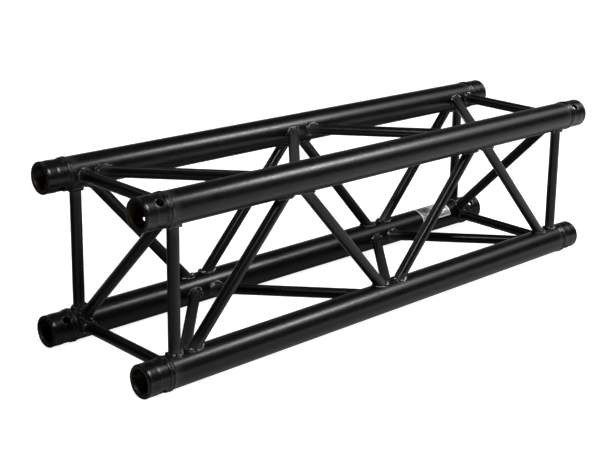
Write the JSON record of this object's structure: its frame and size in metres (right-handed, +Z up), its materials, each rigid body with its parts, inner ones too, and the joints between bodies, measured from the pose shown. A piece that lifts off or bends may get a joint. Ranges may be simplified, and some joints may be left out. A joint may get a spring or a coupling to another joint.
{
  "type": "lighting truss section",
  "caption": "Square box truss section of black-coated tube with diagonal lacing and conical coupler sockets at the ends of its chords, for hanging lights and building stage rigs.",
  "frame": {"origin": "on the floor under the middle of the section, at the bottom centre of its box", "axes": "+X along the section, +Y to the back, +Z up; the front, at -Y, is the long side that faces the viewer"},
  "size_m": [1, 0.293, 0.293],
  "materials": {
    "chord_coating": "satin black powder coat over extruded aluminium tube",
    "lacing_coating": "satin black powder coat over small aluminium tube",
    "receiver_coating": "satin black powder coat over turned aluminium, the socket bare and brownish",
    "weld_coating": "black powder coat over rippled weld bead",
    "label_foil": "dull silver foil with plain dark blocks"
  },
  "bodies": {
    "root": {"chord_top_front": "chord_coating", "chord_top_back": "chord_coating", "chord_bottom_front": "chord_coating", "chord_bottom_back": "chord_coating", "receiver_top_front_left": "receiver_coating", "receiver_top_back_left": "receiver_coating", "receiver_bottom_front_left": "receiver_coating", "receiver_bottom_back_left": "receiver_coating", "receiver_top_front_right": "receiver_coating", "receiver_top_back_right": "receiver_coating", "receiver_bottom_front_right": "receiver_coating", "receiver_bottom_back_right": "receiver_coating", "seam_weld_top_front_left": "weld_coating", "seam_weld_top_back_left": "weld_coating", "seam_weld_bottom_front_left": "weld_coating", "seam_weld_bottom_back_left": "weld_coating", "seam_weld_top_front_right": "weld_coating", "seam_weld_top_back_right": "weld_coating", "seam_weld_bottom_front_right": "weld_coating", "seam_weld_bottom_back_right": "weld_coating", "strut_front_left": "lacing_coating", "strut_back_left": "lacing_coating", "strut_top_left": "lacing_coating", "strut_bottom_left": "lacing_coating", "strut_front_right": "lacing_coating", "strut_back_right": "lacing_coating", "strut_top_right": "lacing_coating", "strut_bottom_right": "lacing_coating", "diagonal_front_1": "lacing_coating", "diagonal_front_2": "lacing_coating", "diagonal_front_3": "lacing_coating", "diagonal_front_4": "lacing_coating", "diagonal_back_1": "lacing_coating", "diagonal_back_2": "lacing_coating", "diagonal_back_3": "lacing_coating", "diagonal_back_4": "lacing_coating", "diagonal_top_1": "lacing_coating", "diagonal_top_2": "lacing_coating", "diagonal_top_3": "lacing_coating", "diagonal_top_4": "lacing_coating", "diagonal_bottom_1": "lacing_coating", "diagonal_bottom_2": "lacing_coating", "diagonal_bottom_3": "lacing_coating", "diagonal_bottom_4": "lacing_coating", "end_brace_left": "lacing_coating", "end_brace_right": "lacing_coating", "fillet_welds_top_front": "weld_coating", "fillet_welds_top_back": "weld_coating", "fillet_welds_bottom_front": "weld_coating", "fillet_welds_bottom_back": "weld_coating", "rating_label": "label_foil"}
  },
  "joints": []
}
